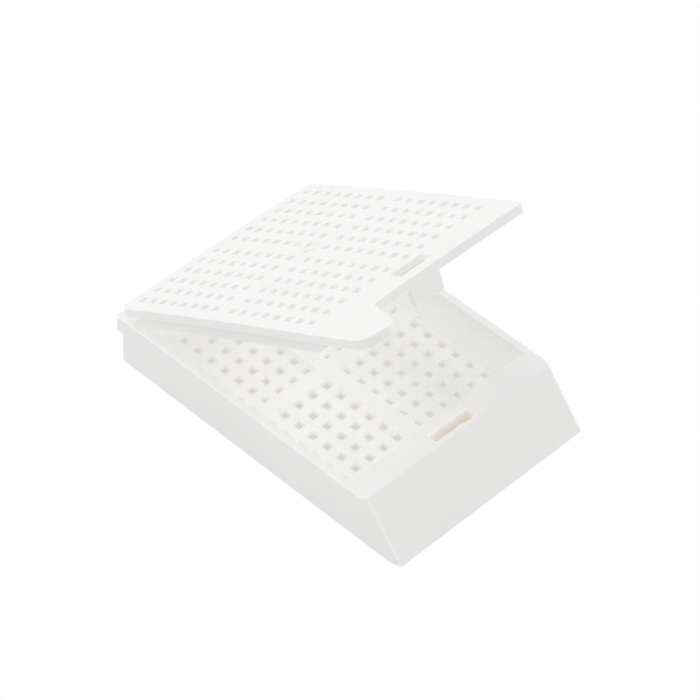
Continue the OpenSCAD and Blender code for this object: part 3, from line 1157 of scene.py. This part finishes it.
def arm_profile():
    """An arm's side: from its root in the plate to the round end about the pin."""
    root = Vector(ARM_ROOT)
    lean = math.atan2(root.y - PIN_Z, root.x - PIN_X)
    across = Vector((-math.sin(lean), math.cos(lean))) * ARM_R
    end = ring(PIN_X, PIN_Z, ARM_R, 13, lean + math.pi / 2, math.pi)
    return [tuple(root - across), tuple(root + across)] + end


def lid_details():
    """The latch tongue, the gate's pip, and each side's rib, hinge arm and pin."""
    tongue = [(TONGUE_X + ahead, LID_UNDER + up) for ahead, up in TONGUE]
    latch = start_prism("latch", tongue, 0, TONGUE_W)
    for vertex in latch.data.vertices:
        vertex.co.y *= 1 + TONGUE_DRAFT * (vertex.co.z - LID_UNDER)
    shells = [latch, upright_cylinder(16, GATE_PIP_R, GATE_PIP_L, GATE_PIP_Z)]
    pin = ring(PIN_X, PIN_Z, PIN_R, PIN_POINTS)
    for side in (-1, 1):
        shells.append(start_prism("rib", rib_profile(), side * RIB_Y, RIB_W))
        shells.append(start_prism("arm", arm_profile(), side * HINGE_Y, ARM_W))
        shells.append(start_prism("pin", pin, side * HINGE_Y, PIN_W))
    return shells


for piece, node in ((build_base(), "base"), (build_lid(), "lid")):
    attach(piece, node)
    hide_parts(node)


# ---- Camera ----

def place_camera():
    """Looks at the part from its front right, with a slight roll."""
    back = Vector((
        math.sin(BEARING) * math.cos(RISE), -math.cos(BEARING) * math.cos(RISE), math.sin(RISE)
    ))
    level = Vector((math.cos(BEARING), math.sin(BEARING), 0))
    upright = back.cross(level)
    right = level * math.cos(ROLL) - upright * math.sin(ROLL)
    up = level * math.sin(ROLL) + upright * math.cos(ROLL)
    lens = bpy.data.cameras.new("camera")
    lens.lens = LENS
    lens.sensor_width = SENSOR
    camera = bpy.data.objects.new("camera", lens)
    bpy.context.scene.collection.objects.link(camera)
    view = Matrix((right, up, back)).transposed().to_4x4()
    view.translation = Vector(CAMERA_PLACE)
    camera.matrix_world = view
    bpy.context.scene.camera = camera


place_camera()


# ---- Studio ----

def pale_table():
    """White paper that looks evenly lit around the part; under the tray it keeps its own tone,
    with a painted glow that shows through the floor's holes.
    """
    paper = bpy.data.materials.new("pale table")
    paper.use_nodes = True
    tree = paper.node_tree
    matt = tree.nodes["Principled BSDF"]
    matt.inputs["Base Color"].default_value = (TABLE_TONE, TABLE_TONE, TABLE_TONE, 1)
    matt.inputs["Roughness"].default_value = 0.9
    matt.inputs["Specular IOR Level"].default_value = 0.0
    matt.inputs["Emission Strength"].default_value = 1.0
    place = tree.nodes.new("ShaderNodeTexCoord")
    parts = tree.nodes.new("ShaderNodeSeparateXYZ")
    give(tree, (place, "Object"), parts, "Vector")
    outside = [
        reckon(tree, "GREATER_THAN", reckon(tree, "ABSOLUTE", (parts, axis)), limit - PAPER_INSET)
        for axis, limit in (("X", base_high[0]), ("Y", base_high[1]))
    ]
    around = reckon(tree, "MAXIMUM", outside[0], outside[1])
    beneath = reckon(tree, "SUBTRACT", 1, around)
    behind_front = reckon(tree, "LESS_THAN", (parts, "X"), (TRAY_FRONT - BASE_L / 2) * MM)
    beneath = reckon(tree, "MULTIPLY", beneath, behind_front)
    # Painted glow on the paper beneath the tray, behind its front wall
    give(tree, scaled(tree, PAPER_PAINTED_GLOW, beneath), matt, "Emission Color")
    seen = tree.nodes.new("ShaderNodeLightPath")
    both = reckon(tree, "MULTIPLY", around, (seen, "Is Camera Ray"))
    white = tree.nodes.new("ShaderNodeEmission")
    white.inputs["Strength"].default_value = 1.0
    mix = tree.nodes.new("ShaderNodeMixShader")
    give(tree, both, mix, 0)
    give(tree, (matt, "BSDF"), mix, 1)
    give(tree, (white, "Emission"), mix, 2)
    give(tree, (mix, "Shader"), tree.nodes["Material Output"], "Surface")
    return paper


def softbox(name, turn, rise, power):
    """A square soft light that faces the part, at a bearing and a height in degrees."""
    lamp = bpy.data.lights.new(name, "AREA")
    lamp.shape = "SQUARE"
    lamp.size = SOFTBOX_SIZE
    lamp.energy = power
    light = bpy.data.objects.new(name, lamp)
    turn, rise = math.radians(turn), math.radians(rise)
    level = math.cos(rise)
    place = Vector((math.cos(turn) * level, math.sin(turn) * level, math.sin(rise)))
    light.location = place * SOFTBOX_AWAY
    light.rotation_euler = (-place).to_track_quat("-Z", "Y").to_euler()
    bpy.context.scene.collection.objects.link(light)


deselect_all()
bpy.ops.mesh.primitive_plane_add(size=TABLE_SIZE, location=(0, 0, 0))
table = bpy.context.object
table.name = "table"
table.data.materials.append(pale_table())

studio = bpy.data.worlds.new("studio")
bpy.context.scene.world = studio
studio.use_nodes = True
room = studio.node_tree.nodes["Background"]
room.inputs["Color"].default_value = ROOM_TINT
room.inputs["Strength"].default_value = ROOM_LIGHT
for box in SOFTBOXES:
    softbox(*box)

bpy.context.scene.view_settings.view_transform = "Standard"
bpy.context.scene.cycles.max_bounces = BOUNCES
bpy.context.scene.cycles.diffuse_bounces = BOUNCES
